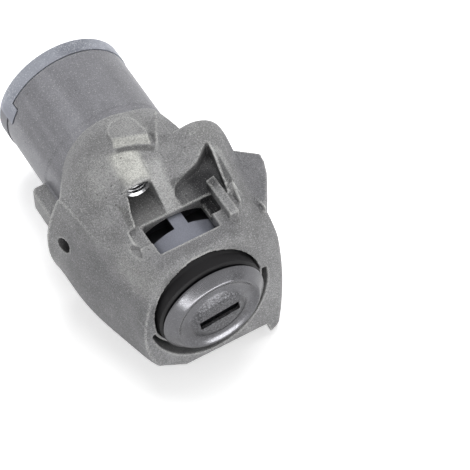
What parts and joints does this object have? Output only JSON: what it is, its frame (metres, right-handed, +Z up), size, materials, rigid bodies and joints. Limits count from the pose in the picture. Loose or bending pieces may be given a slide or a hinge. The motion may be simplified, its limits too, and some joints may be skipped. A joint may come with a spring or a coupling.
{
  "type": "car door lock cylinder",
  "caption": "Car door lock cylinder: a die cast housing with a windowed shield and screw boss round a sprung key rotor, with a steel face cap, rubber mouth seal and rear cap.",
  "frame": {"origin": "on the lock's axis, level with the ridge of the face cap", "axes": "+Y along the lock's axis from the face to the rear, +Z up, +X to the right of someone who faces the key slot"},
  "size_m": [0.0477, 0.0704, 0.0401],
  "materials": {
    "zinc_casting": "sandy die cast grey",
    "plated_zinc": "pale lavender plating",
    "rear_cap_steel": "satin",
    "stainless": "satin",
    "spring_steel": "drawn wire",
    "wafer_brass": "stamped",
    "seal_rubber": "matt"
  },
  "bodies": {
    "lock_body": {"housing": "zinc_casting", "rear_cap": "rear_cap_steel", "mouth_seal": "seal_rubber", "return_spring": "spring_steel"},
    "rotor": {"sleeve": "plated_zinc", "plug": "plated_zinc", "plug_clip": "spring_steel", "face_cap": "stainless", "shutter_pin": "spring_steel", "shutter_spring": "spring_steel", "driver": "plated_zinc", "spring_washer": "spring_steel", "hub_clip": "spring_steel", "clutch_spring": "spring_steel", "wafer_spring_1": "spring_steel", "wafer_spring_2": "spring_steel", "wafer_spring_3": "spring_steel", "wafer_spring_4": "spring_steel", "wafer_spring_5": "spring_steel", "wafer_spring_6": "spring_steel", "wafer_spring_7": "spring_steel", "wafer_spring_8": "spring_steel"},
    "shutter_flap": {"shutter": "stainless"},
    "clutch": {"clutch_ring": "plated_zinc"},
    "tumbler_1": {"wafer_1": "wafer_brass"},
    "tumbler_2": {"wafer_2": "wafer_brass"},
    "tumbler_3": {"wafer_3": "wafer_brass"},
    "tumbler_4": {"wafer_4": "wafer_brass"},
    "tumbler_5": {"wafer_5": "wafer_brass"},
    "tumbler_6": {"wafer_6": "wafer_brass"},
    "tumbler_7": {"wafer_7": "wafer_brass"},
    "tumbler_8": {"wafer_8": "wafer_brass"}
  },
  "joints": [
    {"name": "cylinder_turn", "type": "hinge", "parent": "lock_body", "child": "rotor", "pos_m": [0, 0, 0], "axis": [0, 1, 0], "range_deg": [-75, 75], "stiffness_Nm_per_rad": 0.12, "deforming": ["return_spring"]},
    {"name": "shutter_swing", "type": "hinge", "parent": "rotor", "child": "shutter_flap", "pos_m": [-0.00026, 0.00265, 0.00213], "axis": [0.9925, 0, 0.1219], "range_deg": [0, 75], "stiffness_Nm_per_rad": 0.0004, "springref_deg": -28.65, "deforming": ["shutter_spring"]},
    {"name": "clutch_slide", "type": "slide", "parent": "rotor", "child": "clutch", "axis": [0, 1, 0], "range_m": [0, 0.0014], "stiffness_N_per_m": 900, "springref_m": -0.003, "deforming": ["clutch_spring"]},
    {"name": "wafer_1_slide", "type": "slide", "parent": "rotor", "child": "tumbler_1", "axis": [-0.9925, 0, -0.1219], "range_m": [0, 0.0015], "stiffness_N_per_m": 60, "springref_m": -0.002, "deforming": ["wafer_spring_1"]},
    {"name": "wafer_2_slide", "type": "slide", "parent": "rotor", "child": "tumbler_2", "axis": [0.9925, 0, 0.1219], "range_m": [0, 0.0015], "stiffness_N_per_m": 60, "springref_m": -0.002, "deforming": ["wafer_spring_2"]},
    {"name": "wafer_3_slide", "type": "slide", "parent": "rotor", "child": "tumbler_3", "axis": [-0.9925, 0, -0.1219], "range_m": [0, 0.0015], "stiffness_N_per_m": 60, "springref_m": -0.002, "deforming": ["wafer_spring_3"]},
    {"name": "wafer_4_slide", "type": "slide", "parent": "rotor", "child": "tumbler_4", "axis": [0.9925, 0, 0.1219], "range_m": [0, 0.0015], "stiffness_N_per_m": 60, "springref_m": -0.002, "deforming": ["wafer_spring_4"]},
    {"name": "wafer_5_slide", "type": "slide", "parent": "rotor", "child": "tumbler_5", "axis": [-0.9925, 0, -0.1219], "range_m": [0, 0.0015], "stiffness_N_per_m": 60, "springref_m": -0.002, "deforming": ["wafer_spring_5"]},
    {"name": "wafer_6_slide", "type": "slide", "parent": "rotor", "child": "tumbler_6", "axis": [0.9925, 0, 0.1219], "range_m": [0, 0.0015], "stiffness_N_per_m": 60, "springref_m": -0.002, "deforming": ["wafer_spring_6"]},
    {"name": "wafer_7_slide", "type": "slide", "parent": "rotor", "child": "tumbler_7", "axis": [-0.9925, 0, -0.1219], "range_m": [0, 0.0015], "stiffness_N_per_m": 60, "springref_m": -0.002, "deforming": ["wafer_spring_7"]},
    {"name": "wafer_8_slide", "type": "slide", "parent": "rotor", "child": "tumbler_8", "axis": [0.9925, 0, 0.1219], "range_m": [0, 0.0015], "stiffness_N_per_m": 60, "springref_m": -0.002, "deforming": ["wafer_spring_8"]}
  ]
}
